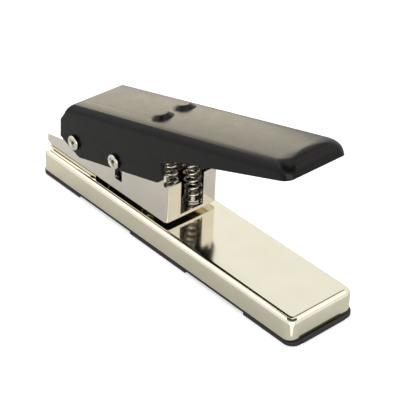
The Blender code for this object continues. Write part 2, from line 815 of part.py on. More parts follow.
def make_lever(parent, material):
    half = lever_width / 2
    low = -skirt_drop - cut_overrun
    high = lever_top_height + dimple_height
    rear = -lever_rear_reach - cut_overrun
    lever = place("lever", lever_form("lever", 0, rear, low), material, (0, 0, 0), parent)
    reach = half + cut_overrun
    shape(lever, "INTERSECT", prism_y("lever_side", lever_side_outline(), -reach, reach))
    spring_x, spring_y = spring_top_place()
    boss_low = lever_top_height - lever_sheet / 2
    for number, side_sign in enumerate((-1, 1)):
        tool = shape(lever, "UNION", dimple("lever_dimple_%d" % number, boss_low, high))
        lean_with_crown(tool, spring_x, side_sign * spring_y)
    # The hollow under the sheet, open below and at the back
    hollow = lever_form("lever_hollow", lever_sheet, rear - cut_overrun, low - cut_overrun)
    shape(lever, "DIFFERENCE", hollow)
    cup_low = lever_under_z - cut_overrun
    cup_high = lever_under_z + dimple_cup_depth
    for number, side_sign in enumerate((-1, 1)):
        cup = round_hole_z("lever_cup_%d" % number, 0, 0, dimple_cup_radius, cup_low, cup_high)
        tool = shape(lever, "DIFFERENCE", cup)
        lean_with_crown(tool, spring_x, side_sign * spring_y)
    shape(lever, "DIFFERENCE", round_hole_y("lever_pivot_hole", 0, 0, pivot_screw_radius + fit_gap, reach))
    drive_hole_radius = drive_screw_radius + fit_gap
    drive_hole = round_hole_y("lever_drive_hole", drive_arm_reach, -drive_arm_drop, drive_hole_radius, reach)
    shape(lever, "DIFFERENCE", drive_hole)
    return lever


def spring_top_place():
    """Where a spring meets the lever, in the lever's own space."""
    drop = spring_top_world()
    away_x = drop[0] - pivot_x
    away_z = drop[1] - pivot_z
    along = away_x * math.cos(lever_raise) + away_z * math.sin(lever_raise)
    return along, spring_spacing / 2


def spring_top_world():
    """World X and Z of the middle of a spring's last turn with the lever at rest."""
    top_x = spring_foot_x - spring_lean
    # The lever's underside, less the wire's radius, is a straight line in side view
    under_radius = lever_crown_radius - lever_sheet
    spring_side_y = spring_spacing / 2 + spring_outer_radius
    seat_z = lever_crown_z + math.sqrt(under_radius ** 2 - spring_side_y ** 2)
    level = seat_z - fit_gap - spring_wire_radius
    top_z = pivot_z + (top_x - pivot_x) * math.tan(lever_raise) + level / math.cos(lever_raise)
    return top_x, top_z


def make_cross_pin(name, outer, bore, reach, height, parent, material):
    """Tube across the lever between its two skirts, threaded for the screws."""
    length = 2 * (lever_inner_half - fit_gap)
    mesh = tube(name, outer, bore + fit_gap, length, turned_steps)
    pin = place(name, mesh, material, (reach, 0, height), parent)
    pin.rotation_euler = (math.pi / 2, 0, 0)
    return pin


def make_punch_holder(parent, material):
    low = holder_bottom_z - punch_bottom_z
    high = holder_top_z - punch_bottom_z
    width = 2 * (frame_inner_half - fit_gap)
    outline = rectangle(holder_length, width, holder_corner_radius, edge_steps)
    holder = place("punch_holder", prism_z("punch_holder", outline, low, high), material, (0, 0, 0), parent)
    play = drive_pin_radius + fit_gap
    rear = min(pin_rest_x, pin_low_x) - pick_centre_x - play - drive_slot_play / 2
    front = pin_furthest_x - pick_centre_x + play + drive_slot_play / 2
    middle = pin_rest_z - punch_bottom_z
    slot = fillet(
        [(rear, middle - play), (front, middle - play), (front, middle + play), (rear, middle + play)],
        [play * holder_slot_corner_share] * 4,
        corner_steps,
    )
    shape(holder, "DIFFERENCE", prism_y("holder_drive_slot", slot, -width, width))
    hole_radius = punch_screw_radius + fit_gap
    hole_low = low - cut_overrun
    hole_high = high + cut_overrun
    for number, side_sign in enumerate((-1, 1)):
        x = side_sign * punch_screw_spacing / 2
        name = "holder_screw_hole_%d" % number
        shape(holder, "DIFFERENCE", round_hole_z(name, x, 0, hole_radius, hole_low, hole_high))
    return holder


def make_pick_punch(parent, material):
    mesh = prism_z("pick_punch", pick_outline(), 0, punch_height)
    punch = place("pick_punch", mesh, material, (0, 0, 0), parent)
    hole_radius = punch_screw_radius + fit_gap
    hole_low = punch_height - punch_screw_bite - fit_gap
    hole_high = punch_height + cut_overrun
    for number, side_sign in enumerate((-1, 1)):
        x = side_sign * punch_screw_spacing / 2
        name = "punch_thread_%d" % number
        shape(punch, "DIFFERENCE", round_hole_z(name, x, 0, hole_radius, hole_low, hole_high))
    return punch


def make_punch_screws(parent, material):
    seat = holder_top_z - punch_bottom_z + fit_gap
    foot = punch_height - punch_screw_bite
    profile = [
        (0, foot),
        (punch_screw_radius, foot),
        (punch_screw_radius, seat),
        (punch_screw_head_radius, seat),
        (punch_screw_head_radius, seat + punch_screw_head_height),
        (0, seat + punch_screw_head_height),
    ]
    mesh = turned("punch_screw", profile, small_turned_steps)
    mesh.materials.append(material)
    for end, side_sign in (("rear", -1), ("front", 1)):
        place("punch_screw_" + end, mesh, None, (side_sign * punch_screw_spacing / 2, 0, 0), parent)


def spring_points():
    """Centre line of the wire: end turns lie close, the turns between are open."""
    top_x, top_z = spring_top_world()
    foot = Vector((spring_foot_x, 0, spring_foot_z))
    head = Vector((top_x, 0, top_z))
    rise = (head - foot).length
    total_turns = spring_active_turns + 2 * spring_end_turns
    end_rise = spring_end_pitch * spring_end_turns
    middle_rise = rise - 2 * end_rise
    count = total_turns * spring_points_per_turn
    points = []
    for index in range(count + 1):
        turns = index / spring_points_per_turn
        if turns < spring_end_turns:
            height = spring_end_pitch * turns
        elif turns <= total_turns - spring_end_turns:
            height = end_rise + middle_rise * (turns - spring_end_turns) / spring_active_turns
        else:
            height = rise - spring_end_pitch * (total_turns - turns)
        share = height / rise
        # The middle line leaves the floor upright and meets the lever square
        blend = share * share * (3 - 2 * share)
        centre = foot.lerp(head, share)
        bulge = rise * share * (1 - share)
        lean = math.atan2(foot.x - head.x, head.z - foot.z)
        centre.x += bulge * (lean * (1 - share) - (lever_raise - lean) * share)
        tilt = lever_raise * blend
        angle = 2 * math.pi * turns
        across = spring_mean_radius * math.cos(angle)
        aside = spring_mean_radius * math.sin(angle)
        points.append(Vector((centre.x + across * math.cos(tilt), aside, centre.z + across * math.sin(tilt))))
    return points


def least_turn_gap(points):
    """Smallest clear distance between the wire and itself, a turn or so along."""
    least = None
    for index, point in enumerate(points):
        for other in points[index + spring_points_per_turn // 2:]:
            gap = (point - other).length - 2 * spring_wire_radius
            if least is None or gap < least:
                least = gap
    return least


def make_return_spring(name, side_sign, material):
    curve = bpy.data.curves.new(name, "CURVE")
    curve.dimensions = "3D"
    curve.bevel_depth = spring_wire_radius
    curve.bevel_resolution = 1
    curve.use_fill_caps = True
    points = spring_points()
    spline = curve.splines.new("POLY")
    spline.points.add(len(points) - 1)
    for slot, point in zip(spline.points, points):
        slot.co = (point.x, point.y * side_sign, point.z, 1)
    spring = bpy.data.objects.new(name, curve)
    bpy.context.scene.collection.objects.link(spring)
    spring.location = (0, side_sign * spring_spacing / 2, 0)
    curve.materials.append(material)
    print("least gap of %s to itself, mm: %.2f" % (name, least_turn_gap(points) * mm_per_metre))
    return spring


def make_spring_post(name, side_sign, material):
    """Turned seat riveted through the frame's floor, inside a spring's first turns."""
    seat = frame_floor_top_z + fit_gap
    flange_top = seat + spring_post_flange_height
    shank_low = frame_floor_z + fit_gap
    profile = [
        (0, shank_low),
        (spring_post_shank_radius, shank_low),
        (spring_post_shank_radius, seat),
        (spring_post_flange_radius, seat),
        (spring_post_flange_radius, flange_top),
        (spring_post_radius, flange_top),
        (spring_post_radius, flange_top + spring_post_height - spring_post_nose_length),
        (spring_post_nose_radius, flange_top + spring_post_height),
        (0, flange_top + spring_post_height),
    ]
    mesh = turned(name, profile, small_turned_steps)
    return place(name, mesh, material, (spring_foot_x, side_sign * spring_spacing / 2, 0))


def make_axis(name, location, tilt):
    """Empty on a joint's axis that carries the pieces which move together."""
    axis = bpy.data.objects.new(name, None)
    bpy.context.scene.collection.objects.link(axis)
    axis.location = location
    axis.rotation_euler = (0, -tilt, 0)
    return axis


def build():
    for old in list(bpy.data.objects):
        bpy.data.objects.remove(old)
    nickel = make_material("nickel_plate", (0.80, 0.77, 0.68), 0.18, 1.0)
    black_paint = make_material("black_paint", (0.035, 0.034, 0.036), 0.35, 0.0)
    black_plastic = make_material("black_plastic", (0.02, 0.02, 0.02), 0.5, 0.0)
    tool_steel = make_material("tool_steel", (0.42, 0.42, 0.43), 0.3, 1.0)
    screw_steel = make_material("screw_steel", (0.72, 0.71, 0.68), 0.22, 1.0)
    spring_steel = make_material("spring_steel", (0.55, 0.54, 0.52), 0.25, 1.0)

    make_base_shell(nickel)
    make_bottom_pan(black_plastic)
    make_die_plate(tool_steel)
    make_die_screws(screw_steel)
    make_throat_spacer(nickel)
    make_press_frame(nickel)
    make_frame_rivets(screw_steel)
    make_pivot_spacer(screw_steel)
    for name, side_sign in (("left", -1), ("right", 1)):
        make_spring_post("spring_post_" + name, side_sign, screw_steel)
        make_return_spring("return_spring_" + name, side_sign, spring_steel)

    lever_axis = make_axis("lever_axis", (pivot_x, 0, pivot_z), lever_raise)
    make_lever(lever_axis, black_paint)
    make_cross_pin("pivot_sleeve", pivot_sleeve_radius, pivot_screw_radius, 0, 0, lever_axis, screw_steel)
    make_screw_pair("pivot_screw", pivot_screw_radius, 0, 0, lever_axis, screw_steel)
    drive_x = drive_arm_reach
    drive_z = -drive_arm_drop
    make_cross_pin("drive_pin", drive_pin_radius, drive_screw_radius, drive_x, drive_z, lever_axis, screw_steel)
    make_screw_pair("drive_screw", drive_screw_radius, drive_x, drive_z, lever_axis, screw_steel)

    punch_axis = make_axis("punch_axis", (pick_centre_x, 0, punch_bottom_z), 0)
    make_punch_holder(punch_axis, tool_steel)
    make_pick_punch(punch_axis, tool_steel)
    make_punch_screws(punch_axis, screw_steel)
    figures = (punch_stroke * mm_per_metre, pivot_x * mm_per_metre, pivot_z * mm_per_metre)
    print("punch stroke, mm: %.2f, lever pivot: %.2f, %.2f" % figures)


build()
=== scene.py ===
import math

import bmesh
import bpy
from mathutils import Matrix, Vector


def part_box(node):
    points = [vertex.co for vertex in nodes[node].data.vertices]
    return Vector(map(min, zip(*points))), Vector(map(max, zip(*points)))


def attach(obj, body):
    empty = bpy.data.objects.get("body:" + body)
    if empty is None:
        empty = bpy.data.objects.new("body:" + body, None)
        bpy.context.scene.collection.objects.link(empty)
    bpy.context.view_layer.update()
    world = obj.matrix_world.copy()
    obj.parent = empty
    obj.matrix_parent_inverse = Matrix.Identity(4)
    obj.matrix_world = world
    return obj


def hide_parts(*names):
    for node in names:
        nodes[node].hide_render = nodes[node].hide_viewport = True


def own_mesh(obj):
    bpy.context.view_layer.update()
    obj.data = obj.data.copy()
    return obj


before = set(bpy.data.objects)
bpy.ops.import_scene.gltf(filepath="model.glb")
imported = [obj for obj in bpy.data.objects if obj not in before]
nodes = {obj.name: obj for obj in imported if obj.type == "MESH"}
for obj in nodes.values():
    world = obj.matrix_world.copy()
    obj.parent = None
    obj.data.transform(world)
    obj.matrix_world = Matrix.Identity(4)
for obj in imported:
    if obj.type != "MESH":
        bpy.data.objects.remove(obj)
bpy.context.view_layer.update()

scene = bpy.context.scene


# Camera
# A long lens looks down on the machine over its free front end and left side,
# held a little off level, with the machine low and left in the frame.
camera_turn = math.radians(47.90)
camera_tip = math.radians(35.56)
camera_roll = math.radians(1.96)
camera_aim = Vector((-0.0013, 0, 0))
camera_distance = 0.6675

back = Vector((
    math.sin(camera_turn) * math.cos(camera_tip),
    -math.cos(camera_turn) * math.cos(camera_tip),
    math.sin(camera_tip),
))
level_right = Vector((math.cos(camera_turn), math.sin(camera_turn), 0))
level_up = back.cross(level_right)
camera_right = level_right * math.cos(camera_roll) + level_up * math.sin(camera_roll)
camera_up = level_up * math.cos(camera_roll) - level_right * math.sin(camera_roll)

camera_data = bpy.data.cameras.new("camera")
camera_data.lens = 128.0
camera_data.sensor_width = 36.0
camera_data.shift_x = 0.0316
camera_data.shift_y = 0.0655
camera_data.clip_start = 0.01
camera = bpy.data.objects.new("camera", camera_data)
scene.collection.objects.link(camera)
camera.matrix_world = (
    Matrix.Translation(camera_aim + back * camera_distance)
    @ Matrix((camera_right, camera_up, back)).transposed().to_4x4()
)
scene.camera = camera
scene.view_settings.view_transform = "Standard"


# Studio table and light
# A white sweep under three level soft boxes and a dark ceiling, with a lit panel low
# behind, another in front, and a glowing card on the sweep before the front corner that paints a highlight
# there.
def link(tree, source, target):
    """Join one node's output to another's input."""
    tree.links.new(source, target)


def node(tree, kind, **values):
    """Add a node; a value is an input's setting, or a socket to join to that input."""
    made = tree.nodes.new(kind)
    for key, value in values.items():
        if hasattr(made, key):
            setattr(made, key, value)
            continue
        socket = made.inputs[key.replace("_", " ")]
        if isinstance(value, bpy.types.NodeSocket):
            link(tree, value, socket)
        else:
            socket.default_value = value
    return made


def bare_tree(owner):
    """Emptied node tree of a material or a world."""
    owner.use_nodes = True
    owner.node_tree.nodes.clear()
    return owner.node_tree


def laid_sheet(name, finish, corners, height):
    """Flat sheet of the set, lying level at a height, and its finish's emptied node tree."""
    mesh = bpy.data.meshes.new(name)
    mesh.from_pydata([(x, y, 0) for x, y in corners], [], [(0, 1, 2, 3)])
    sheet = bpy.data.objects.new(name, mesh)
    sheet.location = (0, 0, height)
    scene.collection.objects.link(sheet)
    mesh.materials.append(bpy.data.materials.new(finish))
    return sheet, bare_tree(mesh.materials[0])


def shown(tree, shader, output="ShaderNodeOutputMaterial"):
    """Send a shader to the tree's output."""
    link(tree, shader, node(tree, output).inputs["Surface"])


table_half = 3.0
table_drop = 0.0002
table_grey = 0.80
table_lift = 0.56
table, tree = laid_sheet(
    "table_top",
    "white_sweep",
    [(x * table_half, y * table_half) for x, y in ((-1, -1), (1, -1), (1, 1), (-1, 1))],
    -table_drop,
)
paper = node(tree, "ShaderNodeBsdfDiffuse", Color=(table_grey, table_grey, table_grey, 1))
rays = node(tree, "ShaderNodeLightPath")
lift = node(tree, "ShaderNodeEmission", Color=(1, 1, 1, 1))
seen = node(tree, "ShaderNodeMath", operation="MULTIPLY")
link(tree, rays.outputs["Is Camera Ray"], seen.inputs[0])
seen.inputs[1].default_value = table_lift
link(tree, seen.outputs[0], lift.inputs["Strength"])
both = node(tree, "ShaderNodeAddShader")
link(tree, paper.outputs[0], both.inputs[0])
link(tree, lift.outputs[0], both.inputs[1])
shown(tree, both.outputs[0])

wall_grey = 0.66
ceiling_edges = ((0.66, 1.0), (0.74, 0.12))
ceiling_grey = 0.05
world = bpy.data.worlds.new("studio")
scene.world = world
tree = bare_tree(world)
way = node(tree, "ShaderNodeTexCoord")
parts = node(tree, "ShaderNodeSeparateXYZ", Vector=way.outputs["Generated"])
room = node(tree, "ShaderNodeValToRGB", Fac=parts.outputs["Z"])
room.color_ramp.elements[0].position = 0.0
room.color_ramp.elements[0].color = (1, 1, 1, 1)
room.color_ramp.elements[1].position = 1.0
room.color_ramp.elements[1].color = (ceiling_grey, ceiling_grey, ceiling_grey, 1)
for height, level in ceiling_edges:
    stop = room.color_ramp.elements.new(height)
    stop.color = (level, level, level, 1)
rays = node(tree, "ShaderNodeLightPath")
plain = node(tree, "ShaderNodeMix", data_type="RGBA")
link(tree, rays.outputs["Is Glossy Ray"], plain.inputs["Factor"])
plain.inputs[6].default_value = (wall_grey, wall_grey, wall_grey, 1)
link(tree, room.outputs["Color"], plain.inputs[7])
white = node(tree, "ShaderNodeMix", data_type="RGBA")
link(tree, rays.outputs["Is Camera Ray"], white.inputs["Factor"])
link(tree, plain.outputs[2], white.inputs[6])
white.inputs[7].default_value = (1, 1, 1, 1)
sky = node(tree, "ShaderNodeBackground", Color=white.outputs[2], Strength=1.0)
shown(tree, sky.outputs[0], "ShaderNodeOutputWorld")


def soft_box(name, place, facing, width, height, brightness, colour, reflections_only=False):
    """Rectangular soft light that faces along a direction, given the brightness of its face."""
    lamp_data = bpy.data.lights.new(name, "AREA")
    lamp_data.color = colour
    lamp_data.shape = "RECTANGLE"
    lamp_data.size = width
    lamp_data.size_y = height
    lamp_data.energy = brightness * math.pi * width * height
    lamp = bpy.data.objects.new(name, lamp_data)
    lamp.location = place
    lamp.rotation_euler = (-Vector(facing)).to_track_quat("Z", "Y").to_euler()
    lamp.visible_camera = False
    lamp.visible_diffuse = not reflections_only
    scene.collection.objects.link(lamp)
    return lamp


def panel(name, way_to_it, distance, width, height, brightness, colour):
    """Standing panel that shows in the plating and the paint alone, aimed at the machine."""
    way_to_it = Vector(way_to_it).normalized()
    return soft_box(name, way_to_it * distance, -way_to_it, width, height, brightness, colour, True)


warm_white = (1, 0.97, 0.88)
box_height = 0.80
box_brightness = 1.15
for name, x, y, width, height in (
    ("soft_box_above", -0.16, 0.20, 0.72, 0.56),
    ("soft_box_left", -0.72, -0.548, 0.56, 0.90),
    ("soft_box_right", 0.32, 0.64, 0.80, 0.32),
):
    soft_box(name, (x, y, box_height), (0, 0, -1), width, height, box_brightness, warm_white)
panel("low_back_panel", (-0.887, 0.376, 0.267), 1.1, 0.85, 0.61, 2.8, (1, 0.88, 0.64))
panel("front_panel", (0.727, -0.657, 0.20), 0.9, 0.80, 0.50, 2.5, (1, 0.97, 0.92))

# Glowing card, not a lamp: hidden from the camera, from diffuse light and from shadows, it shows only in
# reflections and paints a bright highlight down the base's front corner
glow_card_corner = (0.0860, -0.0190)
glow_card_lift = 0.0001
glow_card_way = math.atan2(-0.671, 0.742)
glow_card_half_turn = math.radians(26)
glow_card_near = 0.002
glow_card_far = 0.150
glow_card_brightness = 1.5
glow_card_corners = []
for turn, reach in ((-1, glow_card_near), (1, glow_card_near), (1, glow_card_far), (-1, glow_card_far)):
    angle = glow_card_way + turn * glow_card_half_turn
    glow_card_corners.append((
        glow_card_corner[0] + reach * math.cos(angle),
        glow_card_corner[1] + reach * math.sin(angle),
    ))
glow_card, tree = laid_sheet("glowing_card", "glowing_card", glow_card_corners, glow_card_lift)
glow_card.visible_camera = False
glow_card.visible_diffuse = False
glow_card.visible_shadow = False
# The card's own glow is the painted highlight's source
glow = node(tree, "ShaderNodeEmission", Color=(*warm_white, 1), Strength=glow_card_brightness)
shown(tree, glow.outputs[0])


# Nickel plate
# Bright nickel over drawn and folded steel: warm, nearly a mirror, with faint
# drawing lines along the sheet and the dull patches that handling leaves.
def surface_material(name):
    """New material with its surface shader, ready for its own nodes."""
    material = bpy.data.materials.new(name)
    material.use_nodes = True
    tree = material.node_tree
    return material, tree, tree.nodes["Principled BSDF"]


def grain(tree, scale, detail, stretch=(1, 1, 1)):
    """Noise in the piece's own metres, stretched along an axis for drawn or brushed sheet."""
    place = node(tree, "ShaderNodeTexCoord")
    mapping = node(tree, "ShaderNodeMapping", Vector=place.outputs["Object"], Scale=stretch)
    where = mapping.outputs["Vector"]
    return node(tree, "ShaderNodeTexNoise", Vector=where, Scale=scale, Detail=detail, Roughness=0.55)


def spread(tree, factor, low, high):
    """Map a noise's middle range onto a pair of values."""
    mapped = node(tree, "ShaderNodeMapRange", Value=factor)
    mapped.inputs["From Min"].default_value = 0.35
    mapped.inputs["From Max"].default_value = 0.65
    mapped.inputs["To Min"].default_value = low
    mapped.inputs["To Max"].default_value = high
    return mapped.outputs["Result"]


def two_tone(tree, factor, first, second):
    """Blend two colours by a factor."""
    mixed = node(tree, "ShaderNodeMix", data_type="RGBA", Factor=factor)
    mixed.inputs[6].default_value = (*first, 1)
    mixed.inputs[7].default_value = (*second, 1)
    return mixed.outputs[2]


def raised(tree, surface, height, distance, strength):
    """Bump from a height value."""
    bump = node(tree, "ShaderNodeBump", Height=height, Distance=distance, Strength=strength)
    link(tree, bump.outputs["Normal"], surface.inputs["Normal"])


def coloured(tree, surface, noise, first, second):
    """Base colour that drifts between two tones with a noise."""
    tone = two_tone(tree, spread(tree, noise.outputs["Fac"], 0, 1), first, second)
    link(tree, tone, surface.inputs["Base Color"])


def roughened(tree, surface, noise, low, high):
    """Roughness that drifts between two values with a noise."""
    link(tree, spread(tree, noise.outputs["Fac"], low, high), surface.inputs["Roughness"])


def plated_nickel(name, clean, dull, smooth, worn, line_strength):
    """Nickel plate: colour shifts slightly, dull patches, fine lines along the sheet."""
    material, tree, surface = surface_material(name)
    surface.inputs["Metallic"].default_value = 1.0
    cloud = grain(tree, 90, 3)
    lines = grain(tree, 900, 2, (0.04, 1, 1))
    coloured(tree, surface, cloud, clean, dull)
    roughened(tree, surface, grain(tree, 160, 4), smooth, worn)
    raised(tree, surface, lines.outputs["Fac"], 0.00002, line_strength)
    return material


base_nickel = plated_nickel("base_nickel", (0.84, 0.80, 0.65), (0.82, 0.78, 0.62), 0.09, 0.12, 0.04)


# Base shell
# One deep drawing in nickel-plated sheet: a long shallow tray turned upside down,
# with a small even radius round its top and a pick-shaped window over the die.
def rounded_corners(points, radii, steps):
    """Round each corner of a closed outline with its own radius."""
    rounded = []
    for index, corner in enumerate(points):
        here = Vector(corner)
        before = Vector(points[index - 1]) - here
        after = Vector(points[(index + 1) % len(points)]) - here
        radius = radii[index]
        if radius == 0:
            rounded.append(tuple(here))
            continue
        half = before.angle(after) / 2
        centre = here + (before.normalized() + after.normalized()).normalized() * (radius / math.sin(half))
        start = here + before.normalized() * (radius / math.tan(half)) - centre
        end = here + after.normalized() * (radius / math.tan(half)) - centre
        turn = start.angle_signed(end)
        for step in range(steps + 1):
            angle = -turn * step / steps
            rounded.append((
                centre.x + start.x * math.cos(angle) - start.y * math.sin(angle),
                centre.y + start.x * math.sin(angle) + start.y * math.cos(angle),
            ))
    return rounded


def rounded_rectangle(x_low, x_high, half_width, radius, steps):
    """Plan outline along X with four even corners."""
    corners = [(x_low, -half_width), (x_high, -half_width), (x_high, half_width), (x_low, half_width)]
    return rounded_corners(corners, [radius] * 4, steps)


def finished(work, name, smooth_angle=35):
    """Close worked geometry into a mesh with outward faces."""
    bmesh.ops.recalc_face_normals(work, faces=work.faces)
    mesh = bpy.data.meshes.new(name)
    work.to_mesh(mesh)
    work.free()
    mesh.shade_smooth()
    mesh.set_sharp_from_angle(angle=math.radians(smooth_angle))
    return mesh


def banded(work, loops):
    """Bands of faces between rings of vertices of equal count."""
    for low, high in zip(loops, loops[1:]):
        for index in range(len(low)):
            ahead = (index + 1) % len(low)
            work.faces.new((low[index], low[ahead], high[ahead], high[index]))


def lofted(name, rings, smooth_angle=35):
    """Closed mesh through rings of equal count, capped at both ends."""
    work = bmesh.new()
    loops = [[work.verts.new(point) for point in ring] for ring in rings]
    banded(work, loops)
    work.faces.new(list(reversed(loops[0])))
    work.faces.new(loops[-1])
    return finished(work, name, smooth_angle)


def piece(name, mesh, material=None):
    """Object at the origin, so its place is in its mesh."""
    made = bpy.data.objects.new(name, mesh)
    scene.collection.objects.link(made)
    if material:
        mesh.materials.append(material)
    return made


def domed_tray(name, x_low, x_high, half_width, corner, edge, low, top, corner_steps=14, edge_steps=10):
    """Rounded rectangle standing up from low, with a round edge all about its top."""
    rings = [[(x, y, low) for x, y in rounded_rectangle(x_low, x_high, half_width, corner, corner_steps)]]
    for step in range(edge_steps + 1):
        angle = math.pi / 2 * step / edge_steps
        shrink = edge * (1 - math.cos(angle))
        height = top - edge + edge * math.sin(angle)
        outline = rounded_rectangle(
            x_low + shrink, x_high - shrink, half_width - shrink, corner - shrink, corner_steps
        )
        rings.append([(x, y, height) for x, y in outline])
    return lofted(name, rings)


def worked(target, operation, tool_mesh):
    """Cut, join or keep the overlap with a solid, and keep the result as the mesh."""
    tool = bpy.data.objects.new(tool_mesh.name, tool_mesh)
    scene.collection.objects.link(tool)
    step = target.modifiers.new(tool_mesh.name, "BOOLEAN")
    step.operation = operation
    step.solver = "EXACT"
    step.object = tool
    bpy.context.view_layer.update()
    result = bpy.data.meshes.new_from_object(target.evaluated_get(bpy.context.evaluated_depsgraph_get()))
    target.modifiers.clear()
    old = target.data
    target.data = result
    bpy.data.meshes.remove(old)
    bpy.data.objects.remove(tool)
    bpy.data.meshes.remove(tool_mesh)
    return target


def upright(name, outline, low, high):
    """Straight solid on an outline in plan."""
    return lofted(name, [[(x, y, z) for x, y in outline] for z in (low, high)])


def across(name, outline, near, far):
    """Straight solid along Y on an outline in side view."""
    return lofted(name, [[(x, y, z) for x, z in outline] for y in (near, far)])


def block(name, low, high):
    """Square-edged solid between two corners."""
    outline = [(low[0], low[1]), (high[0], low[1]), (high[0], high[1]), (low[0], high[1])]
    return upright(name, outline, low[2], high[2])


def round_outline(x, y, radius, steps=40):
    """Circle of points about a middle."""
    angles = [2 * math.pi * step / steps for step in range(steps)]
    return [(x + radius * math.cos(angle), y + radius * math.sin(angle)) for angle in angles]


def drilled(target, stem, radius, low, high, steps=40):
    """Round upright hole through a piece, on the axis of one of the frame's fasteners."""
    box_low, box_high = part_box(stem)
    outline = round_outline((box_low.x + box_high.x) / 2, (box_low.y + box_high.y) / 2, radius, steps)
    worked(target, "DIFFERENCE", upright("hole_for_" + stem, outline, low, high))


def pick_shape(grow):
    """Outline of the pick-shaped blade in the frame, grown by a clearance."""
    corners = {(round(v.co.x, 6), round(v.co.y, 6)) for v in nodes["pick_punch"].data.vertices}
    low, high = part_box("pick_punch")
    middle = (low + high) / 2
    half = (high.x - low.x) / 2
    # The blade's two screw holes lie near its middle line, well inside its outline
    rim = sorted(
        (p for p in corners if abs(p[1]) > 0.0021 or math.hypot(p[0] - middle.x, p[1]) > half * 0.74),
        key=lambda p: math.atan2(p[1], p[0] - middle.x),
    )
    share = 1 + grow / half
    return [(middle.x + (x - middle.x) * share, y * share) for x, y in rim]


def eased(target, width, segments=2, angle=40):
    """Break the sharp edges of sheet or machined metal, and keep flat faces flat."""
    bevel = target.modifiers.new("broken_edges", "BEVEL")
    bevel.width = width
    bevel.segments = segments
    bevel.limit_method = "ANGLE"
    bevel.angle_limit = math.radians(angle)
    bevel.harden_normals = False
    flat = target.modifiers.new("flat_faces", "WEIGHTED_NORMAL")
    flat.mode = "FACE_AREA"
    flat.keep_sharp = True
    return target


base_low, base_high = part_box("base_shell")
base_half = base_high.y
base_corner = 0.0045
base_edge = 0.0031
base_sheet = 0.0010
base_break = 0.00015
screw_hole = 0.0028
rivet_hole = 0.0018
fit_gap = 0.0003
cut_over = 0.002


def base_form(name, inset, low):
    """The base's outer form, or the same form set in by its sheet."""
    return domed_tray(
        name,
        base_low.x + inset,
        base_high.x - inset,
        base_half - inset,
        base_corner - inset,
        base_edge - inset,
        low,
        base_high.z - inset,
    )


base_shell = piece("base_shell_plated", base_form("base_shell_plated", 0, base_low.z), base_nickel)
worked(base_shell, "DIFFERENCE", base_form("base_hollow", base_sheet, base_low.z - cut_over))
cut_low = base_high.z - base_sheet - cut_over
cut_high = base_high.z + cut_over
worked(base_shell, "DIFFERENCE", upright("base_window", pick_shape(2 * fit_gap), cut_low, cut_high))
for number in range(1, 5):
    drilled(base_shell, "die_screw_%d" % number, screw_hole, cut_low, cut_high)
    drilled(base_shell, "frame_rivet_%d" % number, rivet_hole, cut_low, cut_high)
eased(base_shell, base_break)
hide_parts("base_shell")
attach(base_shell, "base")


# Bottom pan
# A black plastic tray that closes the base from below, snapped into it. Its rim
# shows as a thin dark line, arched on the long sides, with a pull lip in front.
def moulded_black(name, colour, roughness_low, roughness_high):
    """Moulded plastic: fine even grain from the tool, slightly uneven sheen."""
    material, tree, surface = surface_material(name)
    surface.inputs["Specular IOR Level"].default_value = 0.45
    cloud = grain(tree, 120, 3)
    pale = tuple(c * 1.5 + 0.004 for c in colour)
    coloured(tree, surface, cloud, colour, pale)
    roughened(tree, surface, cloud, roughness_low, roughness_high)
    texture = grain(tree, 2600, 2)
    raised(tree, surface, texture.outputs["Fac"], 0.00005, 0.35)
    return material


pan_plastic = moulded_black("pan_plastic", (0.014, 0.014, 0.014), 0.42, 0.55)

pan_low, pan_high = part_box("bottom_pan")
pan_rim_top = base_low.z - fit_gap
pan_rim_corner = base_corner + 0.0003
pan_rim_front = base_high.x + 0.0012
pan_ring_wall = 0.0012
pan_ring_root = 0.0006
pan_break = 0.00025
lip_half = 0.01125
lip_top = 0.0021
lip_ramp = 0.0010
lip_round = 0.0002
lip_lift = 0.0001
arch_height = 0.0012
arch_start = 0.0189
arch_end = 0.0560


def inside_base(name, inset, low, high):
    """Upright solid that follows the base's outline, set in from it."""
    outline = rounded_rectangle(
        base_low.x + inset, base_high.x - inset, base_half - inset, base_corner - inset, 12
    )
    return upright(name, outline, low, high)


pan_rim = rounded_rectangle(pan_low.x, pan_rim_front, pan_high.y, pan_rim_corner, 12)
pan_blank = upright("bottom_pan_moulding", pan_rim, pan_low.z, pan_rim_top)
pan = piece("bottom_pan_moulding", pan_blank, pan_plastic)
ring_inset = base_sheet + fit_gap
worked(pan, "UNION", inside_base("pan_ring", ring_inset, pan_rim_top - pan_ring_root, pan_high.z))
worked(pan, "DIFFERENCE", inside_base(
    "pan_well", ring_inset + pan_ring_wall, pan_rim_top, pan_high.z + cut_over
))
lip_foot = lip_half + lip_ramp
lip_outline = rounded_corners(
    [
        (-lip_foot, lip_lift),
        (lip_foot, lip_lift),
        (lip_foot, pan_rim_top),
        (lip_half, lip_top),
        (-lip_half, lip_top),
        (-lip_foot, pan_rim_top),
    ],
    [0, 0, 0, lip_round, lip_round, 0],
    6,
)
worked(pan, "UNION", lofted("pull_lip", [
    [(x, y, z) for y, z in lip_outline] for x in (base_high.x + fit_gap, pan_high.x)
]))
arch_reach = pan_high.y + cut_over
for side in (-1, 1):
    ends = sorted((side * arch_start, side * arch_end))
    worked(pan, "DIFFERENCE", block(
        "pan_arch", (ends[0], -arch_reach, -cut_over), (ends[1], arch_reach, arch_height)
    ))
eased(pan, pan_break)
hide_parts("bottom_pan")
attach(pan, "base")


# Press frame
# One channel folded from thick sheet, polished and plated: floor, two side walls
# that climb towards the front, and two narrow flanges turned in behind the slot.
frame_nickel = plated_nickel("frame_nickel", (0.80, 0.75, 0.68), (0.76, 0.71, 0.64), 0.05, 0.09, 0.06)

